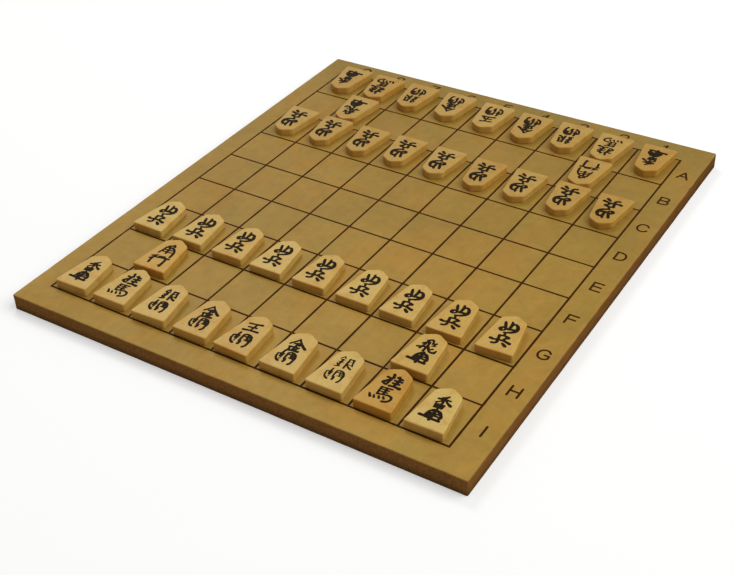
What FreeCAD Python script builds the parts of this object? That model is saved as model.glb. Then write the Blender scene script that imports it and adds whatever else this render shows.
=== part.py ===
import FreeCAD
import Part

import math
import os

from FreeCAD import Vector

# A shogi board set out for the start of a game. All lengths are millimetres and angles degrees.
# The origin is on the underside, at the middle of the board. +X runs along the near edge, from the
# near player's left to right, +Y runs from the near player to the far one, and +Z is up.

# Playing grid
rank_count = 9
square_width = 30.0
square_length = 35.0
line_width = 1.3
line_depth = 0.3
star_point_diameter = 2.6
star_point_squares = 3

# The grid was printed a little askew on the slab: how far it is turned anticlockwise
print_turn = -0.32

# Board: one flat slab with a bare margin on each side of the grid, at the middle of each side
left_margin = 15.2
right_margin = 18.5
near_margin = 17.2
far_margin = 19.3
board_thickness = 10.5
board_corner_radius = 1.0
board_top_round = 0.7
board_foot_round = 0.5

# Outline of every piece: a square-cut tail, two sides that lean in, and a pointed head
base_angle = 82.9
head_angle = 125.0
tail_corner_round = 1.2
head_corner_round = 3.6
piece_edge_round = 0.5

# Room that each kind leaves in its square, side to side and end to end
king_side_room = 6.0
king_end_room = 0.9
major_side_room = 6.3
major_end_room = 1.1
general_side_room = 6.2
general_end_room = 1.0
knight_side_room = 6.2
knight_end_room = 1.0
lance_side_room = 6.7
lance_end_room = 1.1
pawn_side_room = 6.9
pawn_end_room = 1.1

# Thickness at the tail and at the head, for the large pieces and for the pawns
officer_tail_thickness = 5.7
officer_head_thickness = 5.2
pawn_tail_thickness = 5.3
pawn_head_thickness = 4.9

OFFICER = (officer_tail_thickness, officer_head_thickness)
PAWN = (pawn_tail_thickness, pawn_head_thickness)

# Each kind's side room, end room, tail thickness and head thickness
KINDS = {
    "king": (king_side_room, king_end_room) + OFFICER,
    "rook": (major_side_room, major_end_room) + OFFICER,
    "bishop": (major_side_room, major_end_room) + OFFICER,
    "gold": (general_side_room, general_end_room) + OFFICER,
    "silver": (general_side_room, general_end_room) + OFFICER,
    "knight": (knight_side_room, knight_end_room) + OFFICER,
    "lance": (lance_side_room, lance_end_room) + OFFICER,
    "pawn": (pawn_side_room, pawn_end_room) + PAWN,
}

# How each piece was set down by hand: its kind, how far it lies right of and beyond the middle of
# its square, and how far it is turned anticlockwise from the square. Each rank is read from the
# board's left, and None is an empty square.
NEAR_FIRST_RANK = [
    ("lance", -0.9, 0.8, 2.0),
    ("knight", -1.3, 1.0, 1.0),
    ("silver", -1.8, 0.2, 3.0),
    ("gold", -1.3, 0.4, 1.0),
    ("king", -1.9, 0.2, -1.5),
    ("gold", -1.5, 0.4, 0.5),
    ("silver", -1.2, 0.2, 0.5),
    ("knight", -1.2, 0.3, 0.5),
    ("lance", -1.1, 0.1, 2.0),
]
NEAR_SECOND_RANK = [
    None,
    ("bishop", -2.0, 1.6, 2.5),
    None,
    None,
    None,
    None,
    None,
    ("rook", -0.1, 0.3, 0.0),
    None,
]
NEAR_THIRD_RANK = [
    ("pawn", -1.2, 0.7, 0.0),
    ("pawn", -0.3, 1.1, 0.5),
    ("pawn", 0.7, 0.7, 0.5),
    ("pawn", -0.7, 0.4, 1.5),
    ("pawn", 0.0, 1.0, 1.0),
    ("pawn", 0.7, 0.9, 0.5),
    ("pawn", 0.1, 1.1, -0.5),
    ("pawn", 0.3, 1.2, 1.0),
    ("pawn", 0.6, 1.1, 3.5),
]
FAR_THIRD_RANK = [
    ("pawn", -0.3, 2.0, -0.5),
    ("pawn", -0.8, 1.5, 0.0),
    ("pawn", -0.3, 1.8, 0.0),
    ("pawn", -0.7, 2.4, 0.5),
    ("pawn", 0.0, 2.1, 0.0),
    ("pawn", 0.5, 1.6, 0.5),
    ("pawn", -0.4, 2.4, 0.0),
    ("pawn", 0.2, 1.7, 0.0),
    ("pawn", -0.3, 1.6, 1.0),
]
FAR_SECOND_RANK = [
    None,
    ("rook", -1.0, 0.8, -0.5),
    None,
    None,
    None,
    None,
    None,
    ("bishop", -0.4, 1.2, 0.0),
    None,
]
FAR_FIRST_RANK = [
    ("lance", 0.3, 2.8, 0.0),
    ("knight", -1.2, 2.5, 0.0),
    ("silver", -2.0, 2.4, -0.5),
    ("gold", -1.3, 3.1, -0.5),
    ("king", 0.0, 1.9, 0.0),
    ("gold", 0.1, 1.4, 0.0),
    ("silver", -0.1, 2.6, 0.0),
    ("knight", -0.4, 1.7, -1.0),
    ("lance", 0.6, 2.0, 0.5),
]
NEAR_TURN = 0.0
FAR_TURN = 180.0

# Sizes that follow from the ones above
file_count = len(NEAR_FIRST_RANK)
grid_width = file_count * square_width
grid_length = rank_count * square_length
board_width = left_margin + grid_width + right_margin
board_length = near_margin + grid_length + far_margin
board_left = -board_width / 2
board_near = -board_length / 2
grid_left = board_left + left_margin
grid_near = board_near + near_margin
grid_middle = Vector(grid_left + grid_width / 2, grid_near + grid_length / 2, 0)
line_bottom = board_thickness - line_depth


def block(low, high):
    """A plain block between two opposite corners."""
    size = high - low
    return Part.makeBox(size.x, size.y, size.z, low)


def prism(points, rise):
    """The closed outline through the points, carried along the vector rise."""
    face = Part.Face(Part.makePolygon(points + points[:1]))
    return face.extrude(rise)


def edges_along_z(solid):
    """The straight upright edges of a solid."""
    return [e for e in solid.Edges if abs(e.tangentAt(e.FirstParameter).z) > 0.99]


def edges_across_z(solid):
    """Every edge of a solid that doesn't stand upright."""
    return [e for e in solid.Edges if abs(e.tangentAt(e.FirstParameter).z) < 0.5]


def edges_at_height(solid, height):
    """The edges of a solid that lie level at one height."""
    return [e for e in solid.Edges
            if abs(e.BoundBox.ZMin - height) < 1e-6 and abs(e.BoundBox.ZMax - height) < 1e-6]


def turned_with_print(shape):
    """A shape that was laid square, turned about the grid's middle as the print is."""
    turned = shape.copy()
    turned.rotate(grid_middle, Vector(0, 0, 1), print_turn)
    return turned


def make_grid_lines():
    """The ruled lines and the four star points: one flat lattice that fills its grooves."""
    half = line_width / 2
    far_line = grid_near + grid_length + half
    right_line = grid_left + grid_width + half
    bars = []
    for file in range(file_count + 1):
        x = grid_left + file * square_width
        bars.append(block(Vector(x - half, grid_near - half, line_bottom),
                          Vector(x + half, far_line, board_thickness)))
    for rank in range(rank_count + 1):
        y = grid_near + rank * square_length
        bars.append(block(Vector(grid_left - half, y - half, line_bottom),
                          Vector(right_line, y + half, board_thickness)))
    for file in (star_point_squares, file_count - star_point_squares):
        for rank in (star_point_squares, rank_count - star_point_squares):
            centre = Vector(grid_left + file * square_width, grid_near + rank * square_length,
                            line_bottom)
            bars.append(Part.makeCylinder(star_point_diameter / 2, line_depth, centre))
    return turned_with_print(bars[0].multiFuse(bars[1:]).removeSplitter())


def make_board(grid_lines):
    """The slab, with rounded corners and edges, and shallow grooves for the lines."""
    slab = block(Vector(board_left, board_near, 0),
                 Vector(board_left + board_width, board_near + board_length, board_thickness))
    slab = slab.makeFillet(board_corner_radius, edges_along_z(slab))
    slab = slab.makeFillet(board_top_round, edges_at_height(slab, board_thickness))
    slab = slab.makeFillet(board_foot_round, edges_at_height(slab, 0))
    return slab.cut(grid_lines)


def make_piece(side_room, end_room, tail_thickness, head_thickness):
    """A five-sided wedge lying on its underside, with its head towards +Y and its middle at the
    origin. The side line leaves the tail's corner at base_angle, the head's edge leaves the tip at
    half of head_angle, and they meet at the shoulder."""
    width = square_width - side_room
    length = square_length - end_room
    side_run = 1 / math.tan(math.radians(base_angle))
    head_run = math.tan(math.radians(head_angle / 2))
    shoulder_up = (length * head_run - width / 2) / (head_run - side_run)
    shoulder_out = (length - shoulder_up) * head_run
    tail = -length / 2
    outline = [
        Vector(-width / 2, tail, 0),
        Vector(width / 2, tail, 0),
        Vector(shoulder_out, tail + shoulder_up, 0),
        Vector(0, tail + length, 0),
        Vector(-shoulder_out, tail + shoulder_up, 0),
    ]
    profile = [
        Vector(-width / 2, tail, 0),
        Vector(-width / 2, tail + length, 0),
        Vector(-width / 2, tail + length, head_thickness),
        Vector(-width / 2, tail, tail_thickness),
    ]
    tallest = max(tail_thickness, head_thickness)
    wedge = prism(profile, Vector(width, 0, 0)).common(prism(outline, Vector(0, 0, tallest)))
    wedge = wedge.removeSplitter()
    head_corners = [e for e in edges_along_z(wedge) if e.CenterOfMass.y > 0]
    wedge = wedge.makeFillet(head_corner_round, head_corners)
    tail_corners = [e for e in edges_along_z(wedge) if e.CenterOfMass.y < tail + tail_corner_round / 2]
    wedge = wedge.makeFillet(tail_corner_round, tail_corners)
    return wedge.makeFillet(piece_edge_round, edges_across_z(wedge))


def square_name(file, rank):
    """A square's name: files are numbered from the right, and ranks are lettered from the far edge."""
    return "{}{}".format(file_count - file, chr(ord("a") + rank_count - 1 - rank))


def set_out(rank_pieces, rank, camp_turn, shapes):
    """The pieces of one rank, each in its place on the board, by node name."""
    placed = {}
    for file, entry in enumerate(rank_pieces):
        if entry is None:
            continue
        kind, right, beyond, turn = entry
        middle = Vector(grid_left + (file + 0.5) * square_width + right,
                        grid_near + (rank + 0.5) * square_length + beyond,
                        board_thickness)
        piece = shapes[kind].copy()
        piece.rotate(Vector(0, 0, 0), Vector(0, 0, 1), camp_turn + turn)
        piece.translate(middle)
        placed["{}_{}".format(kind, square_name(file, rank))] = turned_with_print(piece)
    return placed


def make_nodes():
    """Every node of the board and its forty pieces."""
    grid_lines = make_grid_lines()
    shapes = {kind: make_piece(*sizes) for kind, sizes in KINDS.items()}
    nodes = {"board": make_board(grid_lines), "grid_lines": grid_lines}
    last = rank_count - 1
    nodes.update(set_out(NEAR_FIRST_RANK, 0, NEAR_TURN, shapes))
    nodes.update(set_out(NEAR_SECOND_RANK, 1, NEAR_TURN, shapes))
    nodes.update(set_out(NEAR_THIRD_RANK, 2, NEAR_TURN, shapes))
    nodes.update(set_out(FAR_THIRD_RANK, last - 2, FAR_TURN, shapes))
    nodes.update(set_out(FAR_SECOND_RANK, last - 1, FAR_TURN, shapes))
    nodes.update(set_out(FAR_FIRST_RANK, last, FAR_TURN, shapes))
    return nodes


os.makedirs("parts", exist_ok=True)
for node_name, node_shape in make_nodes().items():
    node_shape.exportStep("parts/{}.step".format(node_name))
    print(node_name, node_shape.ShapeType, round(node_shape.Volume, 2), node_shape.isValid())
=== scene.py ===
"""A shogi board set out for a game: the looks of its wood, its ruled lines, its margin marks and
its forty lettered pieces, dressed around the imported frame."""

import math

import bpy
import numpy as np
from mathutils import Matrix, Vector


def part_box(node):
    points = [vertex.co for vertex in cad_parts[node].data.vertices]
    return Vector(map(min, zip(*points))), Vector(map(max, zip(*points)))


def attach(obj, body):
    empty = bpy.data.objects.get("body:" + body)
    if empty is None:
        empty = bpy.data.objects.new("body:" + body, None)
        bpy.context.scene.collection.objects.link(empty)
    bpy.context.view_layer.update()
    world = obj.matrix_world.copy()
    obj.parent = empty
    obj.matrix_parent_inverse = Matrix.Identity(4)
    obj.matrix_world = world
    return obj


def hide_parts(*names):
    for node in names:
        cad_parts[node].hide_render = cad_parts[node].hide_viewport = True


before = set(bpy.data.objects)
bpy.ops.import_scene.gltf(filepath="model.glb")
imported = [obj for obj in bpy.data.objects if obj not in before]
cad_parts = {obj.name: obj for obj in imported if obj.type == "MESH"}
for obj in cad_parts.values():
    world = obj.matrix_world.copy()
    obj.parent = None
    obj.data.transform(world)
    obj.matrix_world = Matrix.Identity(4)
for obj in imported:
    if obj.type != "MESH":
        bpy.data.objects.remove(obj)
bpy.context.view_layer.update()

bl_info = {
    "name": "Shogi Board Set",
    "version": (1, 0, 0),
    "blender": (4, 5, 0),
    "location": "View3D > Sidebar > Shogi",
    "description": "Makes a wooden shogi board with its ruled lines, margin marks and forty pieces",
    "category": "Add Mesh",
}

MM = 0.001
BOARD_LOW, BOARD_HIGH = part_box("board")
SQUARES = 9
LINE_HALF = 0.65 * MM  # half of a packed line's width, from a line's middle to the grid's edge
PRINT_TURN = math.radians(-0.32)  # how far the grid was printed askew on the slab
PIECE_NODES = sorted(set(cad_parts) - {"board", "grid_lines"})


def unturned_grid():
    """The middle, width and length of the printed grid, from its packed box. A rectangle turned by
    a small angle fills a box whose sides are each its own side times the cosine plus the other side
    times the sine, and that pair is solved for the two sides."""
    low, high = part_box("grid_lines")
    cosine, sine = math.cos(PRINT_TURN), abs(math.sin(PRINT_TURN))
    box_width, box_length = high.x - low.x, high.y - low.y
    spread = cosine ** 2 - sine ** 2
    width = (box_width * cosine - box_length * sine) / spread
    length = (box_length * cosine - box_width * sine) / spread
    return (low + high) / 2, width, length


GRID_MIDDLE, GRID_WIDTH, GRID_LENGTH = unturned_grid()
FILE_LINES = GRID_MIDDLE.x + (GRID_WIDTH - 2 * LINE_HALF) * np.linspace(-0.5, 0.5, SQUARES + 1)
RANK_LINES = GRID_MIDDLE.y + (GRID_LENGTH - 2 * LINE_HALF) * np.linspace(-0.5, 0.5, SQUARES + 1)


def print_turned(points):
    """Points laid out square, turned about the grid's middle as the print is."""
    cosine, sine = math.cos(PRINT_TURN), math.sin(PRINT_TURN)
    x = points[:, 0] - GRID_MIDDLE.x
    y = points[:, 1] - GRID_MIDDLE.y
    return np.stack([GRID_MIDDLE.x + x * cosine - y * sine, GRID_MIDDLE.y + x * sine + y * cosine,
                     points[:, 2]], axis=1)


def linear(code):
    """The linear colour of an sRGB hex code."""
    shares = np.array([int(code[i:i + 2], 16) / 255 for i in (0, 2, 4)])
    return tuple(np.where(shares > 0.04045, ((shares + 0.055) / 1.055) ** 2.4, shares / 12.92))


# ---------------------------------------------------------------------------------------------
# Settings that a user would change
# ---------------------------------------------------------------------------------------------

class BoardSettings(bpy.types.PropertyGroup):
    """Sizes and colours of the slab."""
    corner_radius: bpy.props.FloatProperty(
        name="Corner radius", description="Rounding of the four upright corners",
        default=1.0 * MM, unit="LENGTH", subtype="DISTANCE")
    top_round: bpy.props.FloatProperty(
        name="Top edge", description="Rounding of the edge round the playing surface",
        default=0.7 * MM, unit="LENGTH", subtype="DISTANCE")
    foot_round: bpy.props.FloatProperty(
        name="Foot edge", description="Rounding of the edge that the board stands on",
        default=0.5 * MM, unit="LENGTH", subtype="DISTANCE")
    face_colour: bpy.props.FloatVectorProperty(
        name="Face", description="Varnished playing surface",
        default=linear("9D7C35"), subtype="COLOR", size=3)
    figure_colour: bpy.props.FloatVectorProperty(
        name="Figure", description="Darker growth in the playing surface",
        default=linear("8D6C2A"), subtype="COLOR", size=3)
    edge_colour: bpy.props.FloatVectorProperty(
        name="Edges", description="Stain on the four edges",
        default=linear("845A2E"), subtype="COLOR", size=3)


class LineSettings(bpy.types.PropertyGroup):
    """Sizes and colour of the ruled lines and margin marks."""
    width: bpy.props.FloatProperty(
        name="Line width", description="Width of a ruled line",
        default=1.46 * MM, unit="LENGTH", subtype="DISTANCE")
    film: bpy.props.FloatProperty(
        name="Film", description="How far the lacquer stands above the wood",
        default=0.07 * MM, unit="LENGTH", subtype="DISTANCE")
    star_diameter: bpy.props.FloatProperty(
        name="Star point", description="Diameter of the four star points",
        default=2.6 * MM, unit="LENGTH", subtype="DISTANCE")
    mark_height: bpy.props.FloatProperty(
        name="Mark height", description="Height of the letters and numbers in the margins",
        default=9.3 * MM, unit="LENGTH", subtype="DISTANCE")
    mark_width: bpy.props.FloatProperty(
        name="Mark width", description="Width of the letters and numbers in the margins",
        default=8.7 * MM, unit="LENGTH", subtype="DISTANCE")
    mark_stroke: bpy.props.FloatProperty(
        name="Letter stroke", description="Width of the stroke of a rank's letter",
        default=1.42 * MM, unit="LENGTH", subtype="DISTANCE")
    number_stroke: bpy.props.FloatProperty(
        name="Number stroke", description="Width of the stroke of a file's number",
        default=1.42 * MM, unit="LENGTH", subtype="DISTANCE")
    mark_offset: bpy.props.FloatProperty(
        name="Mark offset", description="From the grid's outer line to the middle of a mark",
        default=9.0 * MM, unit="LENGTH", subtype="DISTANCE")
    colour: bpy.props.FloatVectorProperty(
        name="Lacquer", description="Dark brown lacquer of the lines and margin marks",
        default=linear("3A1F02"), subtype="COLOR", size=3)


class PieceSettings(bpy.types.PropertyGroup):
    """Sizes and colours of the wedge-shaped pieces."""
    base_angle: bpy.props.FloatProperty(
        name="Base angle", description="Between the tail and a side line",
        default=math.radians(82.9), unit="ROTATION", subtype="ANGLE")
    head_angle: bpy.props.FloatProperty(
        name="Head angle", description="Between the two edges of the head",
        default=math.radians(125.0), unit="ROTATION", subtype="ANGLE")
    tail_radius: bpy.props.FloatProperty(
        name="Tail corners", description="Rounding of the two upright corners of the tail",
        default=1.2 * MM, unit="LENGTH", subtype="DISTANCE")
    head_radius: bpy.props.FloatProperty(
        name="Head corners", description="Rounding of the shoulders and the tip",
        default=3.6 * MM, unit="LENGTH", subtype="DISTANCE")
    top_round: bpy.props.FloatProperty(
        name="Top edge", description="Rounding of the edge round the lettered face",
        default=0.75 * MM, unit="LENGTH", subtype="DISTANCE")
    foot_round: bpy.props.FloatProperty(
        name="Foot edge", description="Rounding of the edge that a piece lies on",
        default=0.4 * MM, unit="LENGTH", subtype="DISTANCE")
    crown: bpy.props.FloatProperty(
        name="Crown", description="How far the middle of the lettered face swells",
        default=0.10 * MM, unit="LENGTH", subtype="DISTANCE")
    hollow: bpy.props.FloatProperty(
        name="Hollow", description="How far the middle of the underside is eased away",
        default=0.12 * MM, unit="LENGTH", subtype="DISTANCE")
    pale_colour: bpy.props.FloatVectorProperty(
        name="Pale wood", description="The palest pieces",
        default=linear("CFB267"), subtype="COLOR", size=3)
    warm_colour: bpy.props.FloatVectorProperty(
        name="Warm wood", description="The most orange pieces",
        default=linear("B8841C"), subtype="COLOR", size=3)
    end_colour: bpy.props.FloatVectorProperty(
        name="End grain", description="What end grain does to the wood's colour",
        default=linear("F2E2D6"), subtype="COLOR", size=3)


class InkSettings(bpy.types.PropertyGroup):
    """Size and colours of the brushed names on the pieces."""
    film: bpy.props.FloatProperty(
        name="Film", description="How far the lacquer stands above the wood",
        default=0.11 * MM, unit="LENGTH", subtype="DISTANCE")
    pen: bpy.props.FloatProperty(
        name="Brush", description="Half the width of a full brush stroke",
        default=0.96 * MM, unit="LENGTH", subtype="DISTANCE")
    cell: bpy.props.FloatProperty(
        name="Cell", description="Spacing of the grid that a stroke's surface is worked out on",
        default=0.14 * MM, unit="LENGTH", subtype="DISTANCE")
    name_colour: bpy.props.FloatVectorProperty(
        name="Name", description="Black lacquer of the names",
        default=linear("1F160A"), subtype="COLOR", size=3)
    promoted_colour: bpy.props.FloatVectorProperty(
        name="Promoted name", description="Red lacquer of the names on the undersides",
        default=linear("8E2417"), subtype="COLOR", size=3)


class StageSettings(bpy.types.PropertyGroup):
    """The floor, the lamps and the camera."""
    sky: bpy.props.FloatProperty(
        name="Sky", description="Strength of the even light from all round",
        default=0.32)
    key_power: bpy.props.FloatProperty(
        name="Key power", description="Power of the lamp up on the left",
        default=8.0, unit="POWER")
    key_size: bpy.props.FloatProperty(
        name="Key size", description="Side of the square lamp up on the left",
        default=0.5, unit="LENGTH", subtype="DISTANCE")
    fill_power: bpy.props.FloatProperty(
        name="Fill power", description="Power of the wide lamp up on the right",
        default=19.5, unit="POWER")
    fill_size: bpy.props.FloatProperty(
        name="Fill size", description="Side of the wide square lamp up on the right",
        default=1.4, unit="LENGTH", subtype="DISTANCE")
    lamp_distance: bpy.props.FloatProperty(
        name="Lamp distance", description="From the middle of the board to each lamp",
        default=1.7, unit="LENGTH", subtype="DISTANCE")
    floor_colour: bpy.props.FloatVectorProperty(
        name="Floor", description="Pale matt floor",
        default=linear("D8D8D6"), subtype="COLOR", size=3)
    lens: bpy.props.FloatProperty(
        name="Lens", description="Focal length of the camera, in millimetres",
        default=60.22)


# ---------------------------------------------------------------------------------------------
# Shapes, worked out as whole arrays
# ---------------------------------------------------------------------------------------------

def rounded_outline(corners, radii, insets, arc_steps, side_steps, least=0.0):
    """A convex outline with rounded corners, drawn in towards its middle by each inset.

    At each corner the two side lines are moved in by the inset plus what is left of the corner's
    radius, and their crossing is the centre of an arc that turns from one side's outward direction
    to the next. Side points share out the straight stretch to the next arc evenly. Returns points
    as (insets, points, 2), anticlockwise, and each point's outward direction."""
    corners = np.asarray(corners, float)
    along = np.roll(corners, -1, axis=0) - corners
    along /= np.linalg.norm(along, axis=1, keepdims=True)
    out_next = np.stack([along[:, 1], -along[:, 0]], axis=1)
    out_last = np.roll(out_next, 1, axis=0)
    bisector = (out_last + out_next) / (1 + (out_last * out_next).sum(1))[:, None]
    start = np.arctan2(out_last[:, 1], out_last[:, 0])
    turn = np.mod(np.arctan2(out_next[:, 1], out_next[:, 0]) - start, 2 * np.pi)
    angles = start[:, None] + turn[:, None] * np.linspace(0, 1, arc_steps + 1)
    arc_out = np.stack([np.cos(angles), np.sin(angles)], axis=-1)
    inset = np.asarray(insets, float)[:, None]
    radius = np.maximum(np.asarray(radii, float)[None, :] - inset, least)
    centre = corners[None] - bisector[None] * (inset + radius)[..., None]
    arcs = centre[:, :, None, :] + radius[:, :, None, None] * arc_out[None]
    begin = arcs[:, :, -1:, :]
    end = np.roll(arcs[:, :, :1, :], -1, axis=1)
    share = (np.arange(1, side_steps + 1) / (side_steps + 1))[None, None, :, None]
    sides = begin + (end - begin) * share
    points = np.concatenate([arcs, sides], axis=2)
    side_out = np.repeat(out_next[:, None, :], side_steps, axis=1)
    outward = np.concatenate([arc_out, side_out], axis=1)
    return points.reshape(len(inset), -1, 2), outward.reshape(-1, 2)


def ring_faces(rings, around, first=0):
    """Quads between each ring of points and the next one up, for rings that run anticlockwise."""
    index = first + np.arange(rings * around).reshape(rings, around)
    ahead = np.roll(index, -1, axis=1)
    return np.stack([index[:-1], ahead[:-1], ahead[1:], index[1:]], axis=-1).reshape(-1, 4)


def fan_faces(pole, ring, upwards):
    """Triangles from a pole to a ring, each written as a quad whose last corner is repeated."""
    ahead = np.roll(ring, -1)
    middle = np.full_like(ring, pole)
    order = (middle, ring, ahead, ahead) if upwards else (middle, ahead, ring, ring)
    return np.stack(order, axis=-1)


def grid_faces(index, upwards=True):
    """Quads of a grid of point numbers whose columns run along X and whose rows run along Y."""
    quads = np.stack([index[:-1, :-1], index[:-1, 1:], index[1:, 1:], index[1:, :-1]], axis=-1)
    quads = quads.reshape(-1, 4)
    return quads if upwards else quads[:, ::-1]


# The slices that put the value of every cell of a grid on each of the cell's four corners
CELL_CORNERS = [(rows, columns) for rows in (slice(0, -1), slice(1, None))
                for columns in (slice(0, -1), slice(1, None))]


def cells_round(used):
    """How many of the four cells round each grid point are used."""
    count = np.zeros((used.shape[0] + 1, used.shape[1] + 1), int)
    for rows, columns in CELL_CORNERS:
        count[rows, columns] += used
    return count


def merged(points, faces, layers):
    """Joins points that lie in the same place, and carries faces and point layers over."""
    keys = np.round(points / (0.0005 * MM)).astype(np.int64)
    _, kept, number = np.unique(keys, axis=0, return_index=True, return_inverse=True)
    number = number.reshape(-1)
    return points[kept], number[faces], {name: values[kept] for name, values in layers.items()}


LATTICE = 64  # points along each side of the square of random heights, which then repeats


def uneven(shape_x, shape_y, size, seed):
    """Smooth random relief from -1 to 1: random heights on a square lattice of the given size, with
    an eased blend between the four lattice points round each place."""
    draws = np.random.default_rng(seed).uniform(-1, 1, (LATTICE, LATTICE))
    x = shape_x / size
    y = shape_y / size
    column = np.floor(x).astype(int)
    row = np.floor(y).astype(int)
    ease_x = x - column
    ease_y = y - row
    ease_x = ease_x * ease_x * (3 - 2 * ease_x)
    ease_y = ease_y * ease_y * (3 - 2 * ease_y)
    row, row_after = row % LATTICE, (row + 1) % LATTICE
    column, column_after = column % LATTICE, (column + 1) % LATTICE
    near = draws[row, column] * (1 - ease_x) + draws[row, column_after] * ease_x
    far = draws[row_after, column] * (1 - ease_x) + draws[row_after, column_after] * ease_x
    return near * (1 - ease_y) + far * ease_y


def new_piece(name, points, faces, body, slot, material, layers=None):
    """Puts points and quads into a mesh at the origin, smooth shaded, and lets it ride on a body.

    A quad with a repeated corner becomes a triangle. A layer is one value or one vector a point."""
    faces = np.asarray(faces)
    distinct = faces != np.roll(faces, 1, axis=1)
    faces = faces[distinct.sum(1) > 2]
    distinct = distinct[distinct.sum(1) > 2]
    totals = distinct.sum(1)
    mesh = bpy.data.meshes.new(name)
    mesh.vertices.add(len(points))
    mesh.vertices.foreach_set("co", np.asarray(points, np.float32).ravel())
    mesh.loops.add(int(totals.sum()))
    mesh.loops.foreach_set("vertex_index", faces[distinct].astype(np.int32))
    mesh.polygons.add(len(faces))
    mesh.polygons.foreach_set("loop_start", (np.cumsum(totals) - totals).astype(np.int32))
    mesh.update(calc_edges=True)
    for layer, values in (layers or {}).items():
        values = np.asarray(values, np.float32)
        kind, field = ("FLOAT", "value") if values.ndim == 1 else ("FLOAT_VECTOR", "vector")
        attribute = mesh.attributes.new(layer, kind, "POINT")
        attribute.data.foreach_set(field, values.ravel())
    mesh.shade_smooth()
    mesh.materials.append(material)
    piece = bpy.data.objects.new(name, mesh)
    bpy.context.scene.collection.objects.link(piece)
    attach(piece, body)
    return piece


# ---------------------------------------------------------------------------------------------
# Materials
# ---------------------------------------------------------------------------------------------

# Sockets of the colour form of the Mix node
MIX_SHARE, MIX_A, MIX_B = 0, 6, 7


def add_node(tree, kind, inputs=None, **settings):
    """Adds a node with its settings. An input is a value, or the output socket that feeds it."""
    node = tree.nodes.new(kind)
    for name, value in settings.items():
        setattr(node, name, value)
    for socket, value in (inputs or {}).items():
        if isinstance(value, bpy.types.NodeSocket):
            tree.links.new(value, node.inputs[socket])
        else:
            node.inputs[socket].default_value = value
    return node


def new_material(name):
    """An empty material and its node tree."""
    material = bpy.data.materials.new(name)
    material.use_nodes = True
    material.node_tree.nodes.clear()
    return material, material.node_tree


def point_value(tree, layer):
    """The socket of a value that the mesh carries at each of its points."""
    return add_node(tree, "ShaderNodeAttribute", attribute_name=layer).outputs["Fac"]


def noise(tree, place, size, detail, roughness, distortion=0.0):
    """The socket of a noise from 0 to 1 whose features are so many millimetres across."""
    return add_node(
        tree, "ShaderNodeTexNoise",
        {"Vector": place, "Scale": 1 / (size * MM), "Detail": detail, "Roughness": roughness,
         "Distortion": distortion}).outputs["Fac"]


def stretched(tree, place, along):
    """Places squeezed along Y, so that what is drawn on them runs long in that direction."""
    return add_node(
        tree, "ShaderNodeMapping", {"Vector": place, "Scale": (1, along, 1)}).outputs["Vector"]


def noise_range(tree, value, lowest, highest):
    """The middle run of a noise, from 0.3 to 0.7, carried over to lowest to highest."""
    return add_node(
        tree, "ShaderNodeMapRange",
        {"Value": value, "From Min": 0.3, "From Max": 0.7, "To Min": lowest,
         "To Max": highest}).outputs["Result"]


def wood_nodes(tree, place, shape):
    """Grain that runs along Y in a block of wood. Returns sockets for growth rings, fibres, clouding
    and pores, each from 0 to 1, and for a height. The sizes in shape are millimetres."""
    long_grain = stretched(tree, place, 0.06)
    rings = add_node(
        tree, "ShaderNodeTexWave",
        {"Vector": long_grain, "Scale": 2 * math.pi / 20 / (shape["ring_spacing"] * MM),
         "Distortion": shape["ring_bend"], "Detail": 2.0, "Detail Scale": 0.35,
         "Detail Roughness": 0.6},
        wave_type="BANDS", bands_direction="X", wave_profile="SAW")
    fibres = noise(tree, long_grain, shape["fibre_width"], 3.0, 0.65)
    flecks = noise(tree, stretched(tree, place, 0.16), shape["pore_width"], 1.0, 0.5)
    pores = share_of(tree, flecks, 0.62, 0.74, 1.0)
    raised = add_node(tree, "ShaderNodeMath", {0: fibres, 1: pores}, operation="SUBTRACT")
    return {
        "rings": rings.outputs["Fac"],
        "fibres": fibres,
        "clouds": noise(tree, place, shape["cloud_size"], 4.0, 0.6, 0.4),
        "pores": pores,
        "height": raised.outputs["Value"],
    }


def share_of(tree, value, low, high, most):
    """A mixing share that rises from 0 to most as a value goes from low to high."""
    return add_node(
        tree, "ShaderNodeMapRange",
        {"Value": value, "From Min": low, "From Max": high, "To Min": 0.0, "To Max": most},
        interpolation_type="SMOOTHSTEP").outputs["Result"]


def blended(tree, share, first, second, blend_type="MIX"):
    """The socket of two colours mixed by a share."""
    return add_node(
        tree, "ShaderNodeMix", {MIX_SHARE: share, MIX_A: first, MIX_B: second},
        data_type="RGBA", blend_type=blend_type).outputs[2]


def tinted(tree, share, colour, tint):
    """The socket of a colour multiplied by a tint, by a share."""
    return blended(tree, share, colour, (*tint, 1), "MULTIPLY")


def finished(material, tree, colour, rough, shine, relief, ior=1.5):
    """Closes a material with a skin over the colour. Relief is a height socket, how strongly it
    tilts the light, and its depth."""
    height, strength, depth = relief
    bump = add_node(
        tree, "ShaderNodeBump", {"Height": height, "Strength": strength, "Distance": depth})
    surface = add_node(
        tree, "ShaderNodeBsdfPrincipled",
        {"Base Color": colour, "Roughness": rough, "IOR": ior, "Specular IOR Level": shine,
         "Normal": bump.outputs["Normal"]})
    add_node(tree, "ShaderNodeOutputMaterial", {"Surface": surface.outputs["BSDF"]})
    return material


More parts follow.
